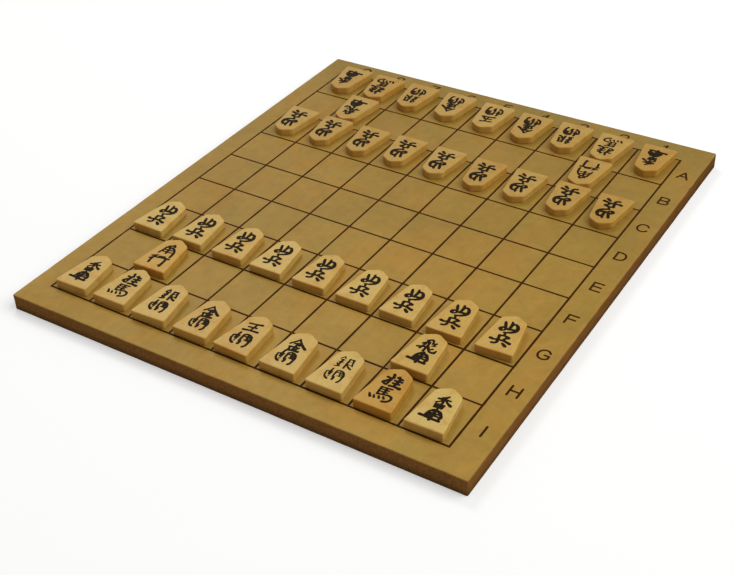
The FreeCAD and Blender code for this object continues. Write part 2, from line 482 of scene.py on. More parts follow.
def varnished_board_wood(settings):
    """Quarter-sawn katsura, planed, stained honey brown and wiped with satin varnish. It gives an
    even ochre face with faint straight grain and soft clouding, and red-brown stained edges.
    Painted shade darkens the wood from the near edge to the far one, for light falling off towards
    the far side, most of all in the far margin, whose tint also shifts its hue; more painted shade
    darkens a band from the lower half of the edges down, which takes in the underside."""
    material, tree = new_material("varnished_board_wood")
    place = add_node(tree, "ShaderNodeTexCoord").outputs["Object"]
    grain = wood_nodes(tree, place, {
        "ring_spacing": 6.5, "ring_bend": 3.0, "fibre_width": 1.1, "cloud_size": 26.0,
        "pore_width": 1.3})
    clouds = grain["clouds"]
    figure = (*settings.figure_colour, 1)
    colour = blended(
        tree, share_of(tree, grain["rings"], 0.1, 1.0, 0.09), (*settings.face_colour, 1), figure)
    colour = blended(tree, share_of(tree, grain["fibres"], 0.42, 0.70, 0.11), colour, figure)
    drift = noise(tree, place, 75.0, 2.0, 0.5)
    mottling = noise(tree, place, 8.0, 3.0, 0.6, 0.6)
    for patches, start, full, tint in (
            (drift, 0.45, 0.65, (1.06, 1.05, 1.03)), (drift, 0.50, 0.32, (0.94, 0.94, 0.93)),
            (mottling, 0.50, 0.32, (0.93, 0.92, 0.89)), (mottling, 0.50, 0.68, (1.07, 1.07, 1.08)),
            (clouds, 0.48, 0.64, (1.05, 0.99, 0.95)), (clouds, 0.50, 0.34, (0.95, 0.99, 0.94))):
        colour = tinted(tree, share_of(tree, patches, start, full, 1.0), colour, tint)
    pore = (*linear("7A5626"), 1)
    colour = blended(tree, share_of(tree, grain["pores"], 0.0, 1.0, 0.13), colour, pore)
    edge = point_value(tree, "edge")
    stain = blended(
        tree, share_of(tree, grain["fibres"], 0.35, 0.7, 0.6), (*settings.edge_colour, 1),
        (*linear("5A3A1C"), 1))
    colour = blended(tree, edge, colour, stain)
    spot = add_node(tree, "ShaderNodeSeparateXYZ", {"Vector": place}).outputs
    # Painted shade: the lower half of the edges and the underside are darkened towards the foot.
    foot_shade = share_of(tree, spot["Z"], 5.5 * MM, 0.5 * MM, 1.0)
    colour = tinted(tree, foot_shade, colour, (0.62, 0.64, 0.70))
    colour = tinted(tree, 1.0, colour, (1.11, 1.11, 1.10))
    # Painted shade: the wood darkens from the near edge to the far lines, for light falling off
    # towards the far side, and more in the far margin, whose tint also shifts its hue.
    for start, full, tint in (
            (BOARD_LOW.y, 110 * MM, (0.81, 0.81, 0.80)), (125 * MM, 170 * MM, (0.86, 0.92, 0.90))):
        colour = tinted(tree, share_of(tree, spot["Y"], start, full, 1.0), colour, tint)
    worn_patch = add_node(
        tree, "ShaderNodeMath",
        {0: point_value(tree, "rounded_share"), 1: share_of(tree, clouds, 0.4, 0.65, 0.5)},
        operation="MULTIPLY")
    colour = blended(tree, worn_patch.outputs["Value"], colour, (*linear("B48C52"), 1))
    shine = add_node(tree, "ShaderNodeMapRange", {"Value": edge, "To Min": 0.10, "To Max": 0.0})
    return finished(material, tree, colour, noise_range(tree, clouds, 0.36, 0.50),
                    shine.outputs["Result"], (grain["height"], 0.35, 0.06 * MM))


def polished_piece_wood(settings):
    """Boxwood, sawn along the grain, tumbled and waxed. It gives creamy yellow faces with fine
    straight grain, browner end grain at tail and head, and paler wood on every rounded edge, which
    also stands as a painted highlight there. A point layer says how far painted shade darkens a
    lettered face, for light falling off towards the far side."""
    material, tree = new_material("polished_piece_wood")
    place = add_node(tree, "ShaderNodeAttribute", attribute_name="grain").outputs["Vector"]
    grain = wood_nodes(tree, place, {
        "ring_spacing": 1.7, "ring_bend": 2.2, "fibre_width": 0.55, "cloud_size": 9.0,
        "pore_width": 0.5})
    colour = blended(
        tree, point_value(tree, "tone"), (*settings.pale_colour, 1), (*settings.warm_colour, 1))
    late_wood = linear("E6D0A8")
    for share, tint in (
            (share_of(tree, grain["rings"], 0.2, 1.0, 0.17), late_wood),
            (share_of(tree, grain["fibres"], 0.45, 0.75, 0.24), late_wood),
            (share_of(tree, grain["clouds"], 0.45, 0.7, 0.8), linear("F4E2C4")),
            (point_value(tree, "end_grain"), settings.end_colour),
            # Painted shade on the lettered face, strongest on the far player's pieces
            (point_value(tree, "face_shade"), (0.60, 0.60, 0.54))):
        colour = tinted(tree, share, colour, tint)
    pore = (*linear("8A6234"), 1)
    colour = blended(tree, share_of(tree, grain["pores"], 0.0, 1.0, 0.30), colour, pore)
    # Paler rubbed wood on the rounded edges, which also stands as a painted highlight along them.
    rubbed_and_highlit = share_of(tree, point_value(tree, "rounded_share"), 0.3, 1.0, 1.0)
    colour = tinted(tree, rubbed_and_highlit, colour, (1.14, 1.12, 1.06))
    return finished(material, tree, colour, noise_range(tree, grain["fibres"], 0.34, 0.46), 0.15,
                    (grain["height"], 0.30, 0.04 * MM))


def brushed_lacquer(name, colour, thin_colour, roughness, shine):
    """Urushi lacquer, laid on with a brush or a screen. It gives a dark film with a soft shine,
    a little lighter where it is thin, and faint ripples where it dried."""
    material, tree = new_material(name)
    place = add_node(tree, "ShaderNodeTexCoord").outputs["Object"]
    pooling = noise(tree, place, 1.6, 3.0, 0.6)
    thin = share_of(tree, pooling, 0.5, 0.8, 0.6)
    shade = blended(tree, thin, (*colour, 1), (*thin_colour, 1))
    dull = noise_range(tree, pooling, roughness, roughness + 0.15)
    return finished(material, tree, shade, dull, shine, (pooling, 0.25, 0.05 * MM), ior=1.52)


def camera_white(tree):
    """1 for what the camera sees straight, in a mirror or through glass, and 0 for other light."""
    rays = add_node(tree, "ShaderNodeLightPath")
    seen = add_node(
        tree, "ShaderNodeMath",
        {0: rays.outputs["Is Camera Ray"], 1: rays.outputs["Is Glossy Ray"]}, operation="MAXIMUM")
    return add_node(
        tree, "ShaderNodeMath",
        {0: seen.outputs["Value"], 1: rays.outputs["Is Transmission Ray"]},
        operation="MAXIMUM").outputs["Value"]


PAPER_GLOW = 0.40  # what the floor gives off by itself towards the camera, to look white


def pale_floor(settings):
    """Matt white paper, which takes the object's shadow and is lifted to white where it is seen."""
    material, tree = new_material("pale_floor")
    paper = add_node(
        tree, "ShaderNodeBsdfDiffuse", {"Color": (*settings.floor_colour, 1), "Roughness": 0.5})
    lift = add_node(
        tree, "ShaderNodeMath", {0: camera_white(tree), 1: PAPER_GLOW}, operation="MULTIPLY")
    glow = add_node(
        tree, "ShaderNodeEmission",
        {"Color": (1, 1, 1, 1), "Strength": lift.outputs["Value"]})
    both = add_node(
        tree, "ShaderNodeAddShader", {0: paper.outputs["BSDF"], 1: glow.outputs["Emission"]})
    add_node(tree, "ShaderNodeOutputMaterial", {"Surface": both.outputs["Shader"]})
    return material


# ---------------------------------------------------------------------------------------------
# The board
# ---------------------------------------------------------------------------------------------

def board_height(x, y):
    """The playing surface: flat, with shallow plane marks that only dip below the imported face."""
    return BOARD_HIGH.z - 0.012 * MM * (1 + uneven(x, y, 38 * MM, seed=3))


def slab_surface(settings):
    """The slab: rounded outlines stacked from the foot edge to the top edge, closed by a square
    grid below and above. Dents push short stretches of the top edge in, and the upright faces
    waver by a few hundredths of a millimetre."""
    side_steps, arc_steps, edge_steps = 140, 6, 6
    quarter = np.linspace(0, np.pi / 2, edge_steps)
    foot, top, corner = settings.foot_round, settings.top_round, settings.corner_radius
    low, high = BOARD_LOW, BOARD_HIGH
    waist = np.linspace(low.z + foot, high.z - top, 7)[1:-1]
    insets = np.concatenate([
        [corner, foot * 1.3], foot * (1 - np.sin(quarter)), np.zeros(len(waist)),
        top * (1 - np.cos(quarter)), [top * 1.15, corner]])
    levels = np.concatenate([
        [low.z, low.z], low.z + foot * (1 - np.cos(quarter)), waist,
        high.z - top * (1 - np.sin(quarter)), [high.z, high.z]])
    round_share = np.concatenate([
        [0, 0], np.sin(2 * quarter) * 0.6, np.zeros(len(waist)), np.sin(2 * quarter), [0, 0]])
    edge_share = np.concatenate([
        [0, 0.3], np.ones(edge_steps + len(waist)), np.cos(quarter) ** 2, [0, 0]])
    corners = [(low.x, low.y), (high.x, low.y), (high.x, high.y), (low.x, high.y)]
    flat, outward = rounded_outline(corners, [corner] * 4, insets, arc_steps, side_steps)
    rings, around = flat.shape[:2]
    upright = np.broadcast_to(levels[:, None], (rings, around))
    points = np.dstack([flat, upright])
    out = np.broadcast_to(outward, flat.shape)
    side = (edge_share * (insets < corner))[:, None]
    run = points[..., 0] + points[..., 1]
    waver = uneven(run, points[..., 2] * 3, 9 * MM, seed=5) * 0.05 * MM * side
    dents = np.random.default_rng(11)
    for _ in range(16):
        at = points[-3, dents.integers(around)]
        depth = dents.uniform(0.15, 0.45) * MM
        reach = dents.uniform(1.6, 3.4) * MM
        gap = np.linalg.norm(points - at, axis=-1)
        waver = waver - depth * np.exp(-(gap / reach) ** 2) * side
    points = points.copy()
    points[..., :2] += out * waver[..., None]
    across = np.linspace(low.x + corner, high.x - corner, side_steps + 2)
    up = np.linspace(low.y + corner, high.y - corner, side_steps + 2)
    grid_x, grid_y = np.meshgrid(across, up)
    number = np.arange(grid_x.size).reshape(grid_x.shape)
    first_foot = rings * around
    first_top = first_foot + grid_x.size
    foot_grid = np.dstack([grid_x, grid_y, np.full_like(grid_x, low.z)]).reshape(-1, 3)
    top_grid = np.dstack([grid_x, grid_y, np.full_like(grid_x, high.z)]).reshape(-1, 3)
    faces = np.concatenate([
        ring_faces(rings, around), grid_faces(first_foot + number, upwards=False),
        grid_faces(first_top + number)])
    points = np.concatenate([points.reshape(-1, 3), foot_grid, top_grid])
    plain = np.zeros(2 * grid_x.size)
    layers = {
        "edge": np.concatenate([np.repeat(edge_share, around), plain]),
        "rounded_share": np.concatenate([np.repeat(round_share, around), plain]),
    }
    points, faces, layers = merged(points, faces, layers)
    face_points = points[:, 2] > high.z - 0.001 * MM
    points[face_points, 2] = board_height(points[face_points, 0], points[face_points, 1])
    return points, faces, layers


# ---------------------------------------------------------------------------------------------
# Films of lacquer: ruled lines, margin marks and brushed names
# ---------------------------------------------------------------------------------------------

SINK = 0.03 * MM  # how deep the underside of a film lies in the wood


def shoulder(depth, reach):
    """A film's thickness from 0 to 1: a quarter circle over the reach in from its edge, then flat."""
    share = np.clip(depth / reach, 0, 1)
    return np.sqrt(np.clip(1 - (1 - share) ** 2, 0, 1))


def film_shell(used, x, y, base, thickness):
    """Closes a film over a grid: an upper sheet at base plus thickness, a lower sheet sunk below
    the base, and one shared row of points where they meet, on the outline of the used cells."""
    count = cells_round(used)
    used_point = count > 0
    edge = used_point & (count < 4)
    upper = np.full(x.shape, -1)
    upper[used_point] = np.arange(used_point.sum())
    inner = used_point & ~edge
    lower = upper.copy()
    lower[inner] = used_point.sum() + np.arange(inner.sum())
    top = np.where(edge, base - SINK / 2, base + thickness)
    upper_points = np.stack([x[used_point], y[used_point], top[used_point]], axis=1)
    lower_points = np.stack([x[inner], y[inner], base[inner] - SINK], axis=1)
    cells = used.reshape(-1)
    faces = np.concatenate([
        grid_faces(upper)[cells], grid_faces(lower, upwards=False)[cells]])
    return np.concatenate([upper_points, lower_points]), faces


def lattice_surface(settings):
    """The ruled lines as one film. The grid's columns crowd across each line of a file, its rows
    crowd across each line of a rank, and a cell is kept where either lies on a line. Each line
    wavers and swells a little along its length, as ruled lacquer does."""
    across_steps, between_steps = 6, 14
    half = settings.width / 2

    def ticks(lines):
        """Places along one direction: evenly across each line, then evenly to the next line."""
        spread = np.linspace(-half, half, across_steps + 1)
        gap = (lines[1] - lines[0]) - 2 * half
        between = half + gap * np.arange(1, between_steps) / between_steps
        block = np.concatenate([spread, between])
        all_ticks = (lines[:, None] + block).reshape(-1)
        distance = np.tile(np.concatenate([half - np.abs(spread), -np.ones(len(between))]), len(lines))
        keep = len(all_ticks) - len(between)
        return all_ticks[:keep], distance[:keep]

    column, column_depth = ticks(FILE_LINES)
    row, row_depth = ticks(RANK_LINES)
    x, y = np.meshgrid(column, row)
    on_file, on_rank = np.meshgrid(column_depth, row_depth)
    depth = np.maximum(on_file, on_rank)
    file_cell = (column_depth[:-1] >= 0) & (column_depth[1:] >= 0)
    rank_cell = (row_depth[:-1] >= 0) & (row_depth[1:] >= 0)
    used = file_cell[None, :] | rank_cell[:, None]
    from_file = x - FILE_LINES[np.abs(x[..., None] - FILE_LINES).argmin(-1)]
    from_rank = y - RANK_LINES[np.abs(y[..., None] - RANK_LINES).argmin(-1)]
    swell_file = 1 + 0.10 * uneven(x * 0.3, y, 4.5 * MM, seed=21)
    swell_rank = 1 + 0.10 * uneven(x, y * 0.3, 4.5 * MM, seed=22)
    moved_x = x + np.where(on_file >= 0, from_file * (swell_file - 1), 0)
    moved_y = y + np.where(on_rank >= 0, from_rank * (swell_rank - 1), 0)
    moved_x += 0.04 * MM * uneven(x * 0.2, y, 30 * MM, seed=23)
    moved_y += 0.04 * MM * uneven(x, y * 0.2, 30 * MM, seed=24)
    thickness = settings.film * shoulder(np.clip(depth, 0, None), 0.25 * MM)
    thickness = thickness * (1 + 0.15 * uneven(x, y, 6 * MM, seed=25))
    points, faces = film_shell(used, moved_x, moved_y, board_height(moved_x, moved_y), thickness)
    return print_turned(points), faces


def star_surface(settings):
    """The four star points: each is a low dome, rings of points that rise by a quarter ellipse from
    the rim to the middle, over a flat sunk disc."""
    around, rings = 28, 6
    turn = np.linspace(0, 2 * np.pi, around, endpoint=False)
    share = np.linspace(1, 0.12, rings)
    radius = settings.star_diameter / 2
    points, faces = [], []
    for file in (3, 6):
        for rank in (3, 6):
            centre = np.array([FILE_LINES[file], RANK_LINES[rank]])
            base = board_height(*centre)
            disc = centre + radius * share[:, None, None] * np.dstack([np.cos(turn), np.sin(turn)])
            rise = settings.film * (0.25 + 1.35 * np.sqrt(1 - share ** 2))
            rise[0] = -SINK / 2
            upper = np.dstack([disc, np.broadcast_to(base + rise[:, None], disc.shape[:2])])
            first = len(points) and sum(len(p) for p in points)
            top_pole = np.array([[*centre, base + rise.max() * 1.02]])
            foot_pole = np.array([[*centre, base - SINK]])
            points += [upper.reshape(-1, 3), top_pole, foot_pole]
            ring = first + np.arange(rings * around).reshape(rings, around)
            pole = first + rings * around
            faces += [ring_faces(rings, around, first), fan_faces(pole, ring[-1], True),
                      fan_faces(pole + 1, ring[0], False)]
    return print_turned(np.concatenate(points)), np.concatenate(faces)


# Strokes of each sign: across from the left, down from the top, and how hard the brush is pressed,
# where 1 is a full stroke. A sign may be drawn to any scale, because it is stretched to its box.
SIGNS = {
    "king": [  # 王
        [(104, 139, .8), (180, 124, .7), (252, 103, 1.)],
        [(196, 126, .8), (193, 182, .7), (186, 242, .7)],
        [(128, 198, .7), (226, 178, .8)],
        [(104, 266, 1.), (190, 246, .8), (280, 236, 1.)],
    ],
    "general": [  # 將
        [(126, 338, 1.), (124, 392, 1.2), (124, 436, 1.1)],
        [(84, 408, 1.), (106, 396, .9), (146, 390, .8)],
        [(86, 430, 1.), (94, 468, 1.), (118, 500, 1.1), (146, 514, 1.2)],
        [(144, 400, .8), (142, 450, .7), (138, 486, .5)],
        [(182, 352, 1.), (184, 404, 1.1), (188, 458, 1.)],
        [(182, 354, 1.), (208, 336, 1.), (244, 340, 1.1), (272, 362, 1.2), (288, 404, 1.2),
         (291, 450, 1.1), (290, 492, 1.1), (276, 519, 1.2)],
        [(196, 372, .8), (258, 374, .9)],
        [(228, 356, .8), (246, 412, .9)],
        [(236, 398, .8), (296, 404, .9)],
        [(228, 424, .8), (298, 424, .8)],
        [(206, 452, .9), (206, 476, 1.3), (204, 502, 1.2)],
    ],
    "flight": [  # 飛
        [(146, 118, .9), (188, 90, 1.), (212, 112, .9), (222, 150, .9)],
        [(258, 126, .9), (238, 150, .8)],
        [(258, 166, 1.), (232, 184, .7)],
        [(118, 182, .9), (146, 152, .9), (160, 124, .8)],
        [(150, 152, .9), (142, 220, 1.), (126, 272, .9)],
        [(182, 140, 1.), (185, 210, 1.), (184, 300, 1.)],
        [(88, 256, 1.), (124, 240, .9), (206, 214, .9)],
        [(206, 214, 1.), (226, 256, 1.), (262, 284, 1.), (306, 276, 1.2)],
        [(306, 276, 1.), (312, 242, .8)],
        [(264, 226, .9), (238, 250, .7)],
    ],
    "cart": [  # 車
        [(158, 342, .8), (190, 336, .9), (228, 346, .9)],
        [(186, 322, 1.), (186, 420, 1.3), (184, 508, 1.1)],
        [(152, 352, .9), (132, 390, 1.), (122, 440, 1.), (114, 466, .9)],
        [(150, 366, .8), (196, 356, .9), (236, 362, 1.)],
        [(236, 350, 1.), (258, 386, 1.1), (272, 424, 1.2), (262, 462, .9)],
        [(132, 398, .8), (258, 392, .8)],
        [(124, 432, .9), (190, 426, .9), (266, 430, .9)],
        [(156, 404, .7), (150, 466, .9)],
        [(70, 470, 1.3), (120, 474, 1.1), (190, 482, 1.1), (276, 484, 1.2)],
    ],
    "horn": [  # 角
        [(206, 92, .9), (188, 116, 1.), (150, 136, .9)],
        [(196, 106, .9), (228, 118, .9), (220, 146, .9)],
        [(138, 168, .9), (130, 232, 1.), (114, 300, .8)],
        [(134, 168, .9), (190, 156, .9), (246, 168, 1.)],
        [(246, 168, 1.), (282, 214, 1.), (296, 270, 1.1), (300, 330, 1.)],
        [(190, 160, 1.), (196, 216, 1.1), (204, 278, 1.)],
        [(140, 214, .7), (248, 206, .7)],
        [(136, 256, .7), (262, 248, .7)],
    ],
    "going": [  # 行
        [(140, 352, .9), (112, 372, .9), (80, 386, .8)],
        [(138, 390, 1.), (112, 420, .9), (82, 440, .8)],
        [(110, 414, 1.), (114, 470, 1.), (122, 520, 1.)],
        [(176, 366, .9), (244, 354, .9)],
        [(160, 396, .8), (236, 380, .9), (316, 372, 1.1)],
        [(284, 380, 1.), (292, 450, 1.1), (294, 536, 1.1)],
        [(294, 536, .9), (264, 522, .5)],
    ],
    "gold": [  # 金
        [(163, 98, .7), (200, 144, .9), (250, 190, 1.1), (300, 224, 1.2)],
        [(160, 118, .9), (132, 162, .9), (98, 208, .9)],
        [(148, 192, .8), (182, 174, .9), (214, 202, .9)],
        [(182, 172, 1.), (184, 240, 1.1), (178, 302, 1.)],
        [(120, 254, .9), (175, 243, .9), (230, 240, 1.)],
        [(126, 262, .9), (138, 296, 1.), (128, 330, .9)],
        [(226, 244, .9), (208, 288, .9)],
        [(128, 322, .9), (185, 305, 1.), (252, 296, 1.2)],
    ],
    "silver": [  # 銀
        [(140, 92, 1.), (124, 116, .9), (108, 140, .8)],
        [(142, 96, .8), (158, 120, .9)],
        [(120, 150, .8), (164, 146, .8)],
        [(144, 146, 1.2), (144, 180, 1.5), (141, 220, 1.3), (142, 262, 1.3)],
        [(116, 192, .8), (166, 188, .8)],
        [(112, 220, .8), (128, 244, .9)],
        [(106, 276, .8), (136, 268, 1.), (166, 254, .8)],
        [(212, 104, 1.), (214, 180, 1.3), (218, 268, 1.2)],
        [(206, 112, 1.), (236, 106, 1.), (260, 102, 1.1)],
        [(258, 104, 1.3), (268, 150, 1.1), (286, 200, 1.)],
        [(216, 150, .6), (268, 146, .6)],
        [(216, 196, .8), (280, 194, .8)],
        [(232, 208, .9), (258, 234, 1.2), (294, 252, 1.3)],
    ],
    "cassia": [  # 桂
        [(154, 84, 1.2), (166, 120, 1.2), (160, 190, 1.1), (154, 262, 1.)],
        [(110, 150, 1.1), (150, 152, 1.), (180, 134, 1.)],
        [(152, 176, 1.), (128, 208, 1.3), (106, 236, 1.2)],
        [(108, 246, 1.2), (140, 264, 1.)],
        [(210, 112, 1.1), (270, 124, 1.1)],
        [(222, 98, 1.1), (242, 130, 1.2), (246, 180, 1.2)],
        [(204, 170, 1.), (282, 160, 1.1)],
        [(206, 212, 1.), (272, 206, 1.1)],
        [(244, 180, 1.2), (236, 256, 1.2)],
        [(190, 266, 1.1), (250, 258, 1.1), (306, 262, 1.5)],
    ],
    "horse": [  # 馬
        [(136, 318, 1.1), (136, 372, 1.), (144, 436, 1.)],
        [(140, 320, .8), (200, 313, .9), (254, 308, 1.)],
        [(200, 316, 1.1), (204, 360, 1.2), (202, 420, 1.)],
        [(148, 350, .7), (236, 345, .8)],
        [(146, 386, .7), (236, 381, .8)],
        [(144, 434, 1.), (200, 421, .9), (262, 408, 1.)],
        [(262, 408, 1.), (304, 420, 1.1), (316, 458, 1.1), (296, 498, 1.1), (250, 518, 1.2)],
        [(70, 462, .8), (84, 482, 1.1), (98, 504, 1.2)],
        [(128, 470, .8), (144, 500, 1.1)],
        [(178, 456, .8), (196, 488, 1.1)],
        [(226, 446, .8), (246, 474, 1.1)],
    ],
    "incense": [  # 香
        [(222, 98, .8), (206, 126, 1.), (168, 144, .9)],
        [(136, 170, 1.1), (190, 161, 1.), (262, 156, .9)],
        [(200, 124, 1.), (200, 236, 1.)],
        [(192, 168, .9), (164, 206, .8), (134, 230, .8)],
        [(222, 176, .7), (250, 200, 1.), (292, 226, 1.3)],
        [(146, 256, 1.), (150, 304, 1.)],
        [(146, 256, .9), (190, 251, .9), (236, 250, .9)],
        [(236, 250, 1.), (228, 302, 1.)],
        [(150, 279, .8), (230, 276, .8)],
        [(150, 303, .9), (226, 301, .9)],
    ],
    "walk": [  # 歩
        [(112, 116, .9), (126, 150, 1.1), (148, 196, 1.), (160, 226, .9)],
        [(190, 88, .7), (204, 118, 1.1), (208, 160, 1.1), (202, 222, 1.)],
        [(210, 140, .9), (242, 118, 1.), (276, 132, 1.1), (300, 180, 1.3), (296, 228, 1.2),
         (258, 262, 1.1), (212, 284, .9), (172, 294, .8)],
        [(140, 214, .8), (178, 226, 1.), (216, 222, 1.1), (290, 210, 1.)],
        [(150, 202, .8), (116, 218, 1.), (100, 242, 1.4), (114, 268, 1.)],
        [(172, 226, .8), (158, 252, .8), (124, 270, .8)],
    ],
    "soldier": [  # 兵
        [(176, 294, .8), (190, 322, .9), (194, 350, .9)],
        [(138, 366, 1.), (190, 354, .9), (232, 358, 1.), (262, 372, 1.4)],
        [(140, 364, 1.1), (150, 410, 1.1), (156, 452, 1.1), (160, 486, 1.1), (140, 508, 1.),
         (104, 516, 1.)],
        [(262, 376, 1.1), (232, 398, 1.), (222, 430, 1.1)],
        [(58, 446, 1.3), (100, 452, 1.), (155, 440, .9), (225, 438, 1.)],
        [(224, 432, 1.1), (268, 446, 1.1), (318, 458, 1.3)],
        [(238, 484, .9), (264, 502, 1.2), (288, 518, 1.2)],
    ],
    "become": [  # 成
        [(22, 26, .8), (56, 24, .7), (92, 22, 1.)],
        [(23, 26, .9), (21, 62, .8), (5, 96, .3)],
        [(23, 50, .7), (48, 49, .8)],
        [(48, 49, .9), (46, 82, .9)],
        [(46, 82, .8), (35, 76, .3)],
        [(56, 3, .9), (62, 48, .9), (78, 80, .9), (92, 95, 1.)],
        [(92, 95, 1.), (97, 76, .3)],
        [(85, 44, .9), (72, 66, .8), (49, 88, .4)],
        [(72, 3, .6), (85, 15, 1.1)],
    ],
    "dragon": [  # 竜
        [(50, 1, .8), (50, 14, .9)],
        [(15, 20, .8), (85, 18, .9)],
        [(34, 24, .7), (38, 36, .9)],
        [(67, 23, .9), (61, 36, .6)],
        [(4, 42, .8), (96, 40, 1.)],
        [(27, 50, .9), (27, 77, .8)],
        [(27, 51, .8), (73, 50, .9)],
        [(73, 50, .9), (73, 77, .8)],
        [(29, 63, .6), (71, 62, .6)],
        [(28, 76, .7), (72, 75, .7)],
        [(50, 42, .8), (49, 80, .9), (56, 94, .9), (78, 96, .9), (94, 92, .9)],
        [(94, 92, .9), (95, 77, .3)],
    ],
    "token": [  # と
        [(36, 4, .9), (38, 27, .8), (45, 46, .5)],
        [(80, 25, .7), (46, 46, .8), (23, 69, .9), (29, 91, .9), (56, 96, .9), (88, 91, 1.1)],
    ],
}
SIGNS["jewel"] = [*SIGNS["king"], [(232, 196, .8), (256, 222, 1.1)]]  # 玉

# Letters and numbers in a box of 100 by 100, drawn with an even pen
MARKS = {
    "A": [[(3, 100), (50, 0)], [(50, 0), (97, 100)], [(20, 66), (80, 66)]],
    "B": [[(12, 0), (12, 100)], [(12, 0), (56, 0)], [(56, 0), (80, 6), (87, 24), (80, 42), (56, 48)],
          [(12, 48), (58, 48)], [(58, 48), (84, 55), (93, 74), (84, 93), (58, 100)],
          [(12, 100), (58, 100)]],
    "C": [[(93, 24), (76, 6), (50, 0), (22, 10), (6, 36), (6, 64), (22, 90), (50, 100), (76, 94),
           (93, 76)]],
    "D": [[(12, 0), (12, 100)], [(12, 0), (48, 0)],
          [(48, 0), (78, 11), (93, 36), (93, 64), (78, 89), (48, 100)], [(12, 100), (48, 100)]],
    "E": [[(14, 0), (14, 100)], [(14, 0), (92, 0)], [(14, 48), (84, 48)], [(14, 100), (94, 100)]],
    "F": [[(14, 0), (14, 100)], [(14, 0), (92, 0)], [(14, 48), (82, 48)]],
    "G": [[(92, 22), (75, 5), (50, 0), (22, 10), (6, 36), (6, 64), (22, 90), (50, 100), (76, 95),
           (94, 80)], [(94, 80), (94, 54)], [(94, 54), (58, 54)]],
    "H": [[(10, 0), (10, 100)], [(90, 0), (90, 100)], [(10, 48), (90, 48)]],
    "I": [[(50, 0), (50, 100)]],
    "1": [[(26, 20), (54, 0)], [(54, 0), (54, 100)]],
    "2": [[(10, 26), (22, 7), (50, 0), (78, 8), (88, 28), (76, 50), (42, 74), (10, 100)],
          [(10, 100), (92, 100)]],
    "3": [[(12, 14), (44, 0), (76, 7), (83, 26), (70, 43), (42, 48)],
          [(42, 48), (78, 55), (91, 74), (78, 94), (44, 100), (10, 86)]],
    "4": [[(70, 0), (6, 68)], [(6, 68), (95, 68)], [(70, 0), (70, 100)]],
    "5": [[(84, 0), (22, 0)], [(22, 0), (15, 47)],
          [(15, 47), (46, 37), (78, 47), (91, 69), (78, 92), (46, 100), (10, 88)]],
    "6": [[(82, 8), (54, 0), (24, 16), (9, 48), (12, 76), (32, 97), (60, 100), (85, 86), (91, 66),
           (79, 46), (50, 38), (22, 50), (12, 68)]],
    "7": [[(8, 0), (92, 0)], [(92, 0), (60, 44), (42, 100)]],
    "8": [[(50, 0), (22, 7), (15, 26), (26, 42), (50, 48), (76, 40), (85, 24), (76, 6), (50, 0)],
          [(50, 48), (18, 58), (8, 76), (20, 94), (50, 100), (82, 94), (92, 76), (82, 58), (50, 48)]],
    "9": [[(18, 92), (46, 100), (76, 84), (91, 52), (88, 24), (68, 3), (40, 0), (15, 14), (9, 34),
           (21, 54), (50, 62), (78, 50), (88, 32)]],
}

# How far the row of numbers was printed to the right of the files' middles, and outwards
NUMBER_SHIFT = (0.4 * MM, 0.5 * MM)
# How far the rank letters stray from an even column beside the grid, from I up to A
LETTER_LEAN = np.linspace(0.0, -1.0, SQUARES) * MM
LETTER_RISE = np.array([0.7, 0.2, 0, 0, 0, 0, 0, 0, 0]) * MM

# The signs of each name. Each has the left, top, right and bottom of the box that its strokes'
# middle lines fill, in millimetres from the middle of the piece.
NAMES = {
    "near_king": (("king", -4.3, 9.3, 4.5, 1.2), ("general", -5.8, -1.4, 6.1, -11.5)),
    "far_king": (("jewel", -4.3, 9.3, 4.5, 1.2), ("general", -5.8, -1.4, 6.1, -11.5)),
    "rook": (("flight", -5.1, 10.1, 6.1, -0.6), ("cart", -5.0, -1.4, 5.7, -10.8)),
    "bishop": (("horn", -3.9, 9.9, 5.5, -2.0), ("going", -5.5, -3.1, 6.3, -12.2)),
    "gold": (("gold", -4.6, 9.6, 5.5, -2.0), ("general", -5.5, -2.4, 5.5, -11.6)),
    "silver": (("silver", -4.2, 9.9, 5.2, 0.7), ("general", -5.0, -1.5, 5.6, -10.4)),
    "knight": (("cassia", -4.5, 10.3, 5.9, 1.1), ("horse", -6.0, -0.9, 6.3, -11.4)),
    "lance": (("incense", -2.9, 9.6, 5.1, -0.7), ("cart", -6.1, -2.0, 5.0, -10.8)),
    "pawn": (("walk", -4.2, 10.4, 4.7, -0.1), ("soldier", -5.7, 0.1, 5.6, -11.1)),
}
PROMOTED_NAMES = {
    "rook": (("dragon", -4.6, 9.9, 4.6, 0.7), ("king", -4.2, -0.9, 4.2, -9.0)),
    "bishop": (("dragon", -4.6, 9.9, 4.6, 0.7), ("horse", -5.4, -0.8, 5.4, -10.4)),
    "silver": (("become", -4.6, 9.9, 4.6, 0.9), ("silver", -4.8, -0.6, 4.8, -10.0)),
    "knight": (("become", -4.6, 9.9, 4.6, 0.9), ("cassia", -4.8, -0.6, 4.8, -10.0)),
    "lance": (("become", -4.6, 9.9, 4.6, 0.9), ("incense", -4.2, -0.6, 4.2, -10.2)),
    "pawn": (("token", -5.8, 8.4, 5.8, -7.6),),
}


def stroke_points(stroke, steps=10):
    """Points along a stroke: a curve that passes through each given point, with the direction at a
    point set by its two neighbours, and the brush pressure carried along in the same way."""
    given = np.asarray(stroke, float)
    padded = np.vstack([2 * given[0] - given[1], given, 2 * given[-1] - given[-2]])
    t = np.linspace(0, 1, steps, endpoint=False)[None, :, None]
    before, start, end, after = (padded[i:len(padded) - 3 + i, None, :] for i in range(4))
    curve = 0.5 * (2 * start + (end - before) * t
                   + (2 * before - 5 * start + 4 * end - after) * t ** 2
                   + (3 * start - before - 3 * end + after) * t ** 3)
    return np.vstack([curve.reshape(-1, given.shape[1]), given[-1]])


